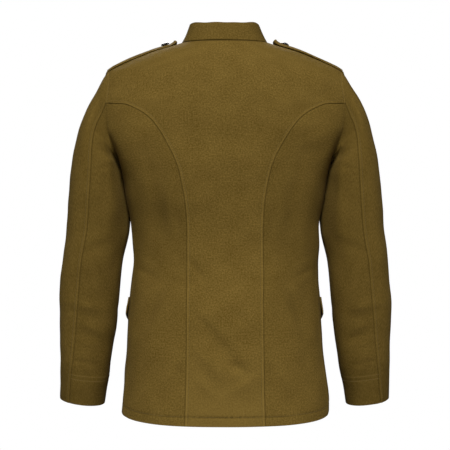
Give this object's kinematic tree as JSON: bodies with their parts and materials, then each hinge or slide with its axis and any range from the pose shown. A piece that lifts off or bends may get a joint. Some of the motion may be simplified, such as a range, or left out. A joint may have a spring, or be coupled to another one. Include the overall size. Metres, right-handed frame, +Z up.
{
  "type": "military dress tunic",
  "caption": "Fitted wool tunic with stand collar, set-in sleeves, shaped back seams, shoulder straps and hip pocket flaps, filled out as worn and open at neck, cuffs and hem.",
  "frame": {"origin": "middle of the neck at the height of the collar seam, where the wearer's shoulders hold the tunic up", "axes": "+Z up from hem to collar, -Y out of the closed front, +Y out of the back, +X to the wearer's left"},
  "size_m": [0.6504, 0.2735, 0.7732],
  "materials": {
    "wool": "olive-brown napped wool, matt, with stitched seams",
    "button": "near-black, smooth, softly shining"
  },
  "bodies": {
    "root": {"back": "wool", "side_back_left": "wool", "side_back_right": "wool", "front_left": "wool", "front_right": "wool", "collar": "wool", "sleeve_upper_left": "wool", "sleeve_upper_right": "wool", "sleeve_under_left": "wool", "sleeve_under_right": "wool", "shoulder_strap_left": "wool", "shoulder_strap_right": "wool", "pocket_flap_left": "wool", "pocket_flap_right": "wool", "strap_button_left": "button", "strap_button_right": "button", "front_button_1": "button", "front_button_2": "button", "front_button_3": "button", "front_button_4": "button", "front_button_5": "button"}
  },
  "joints": []
}
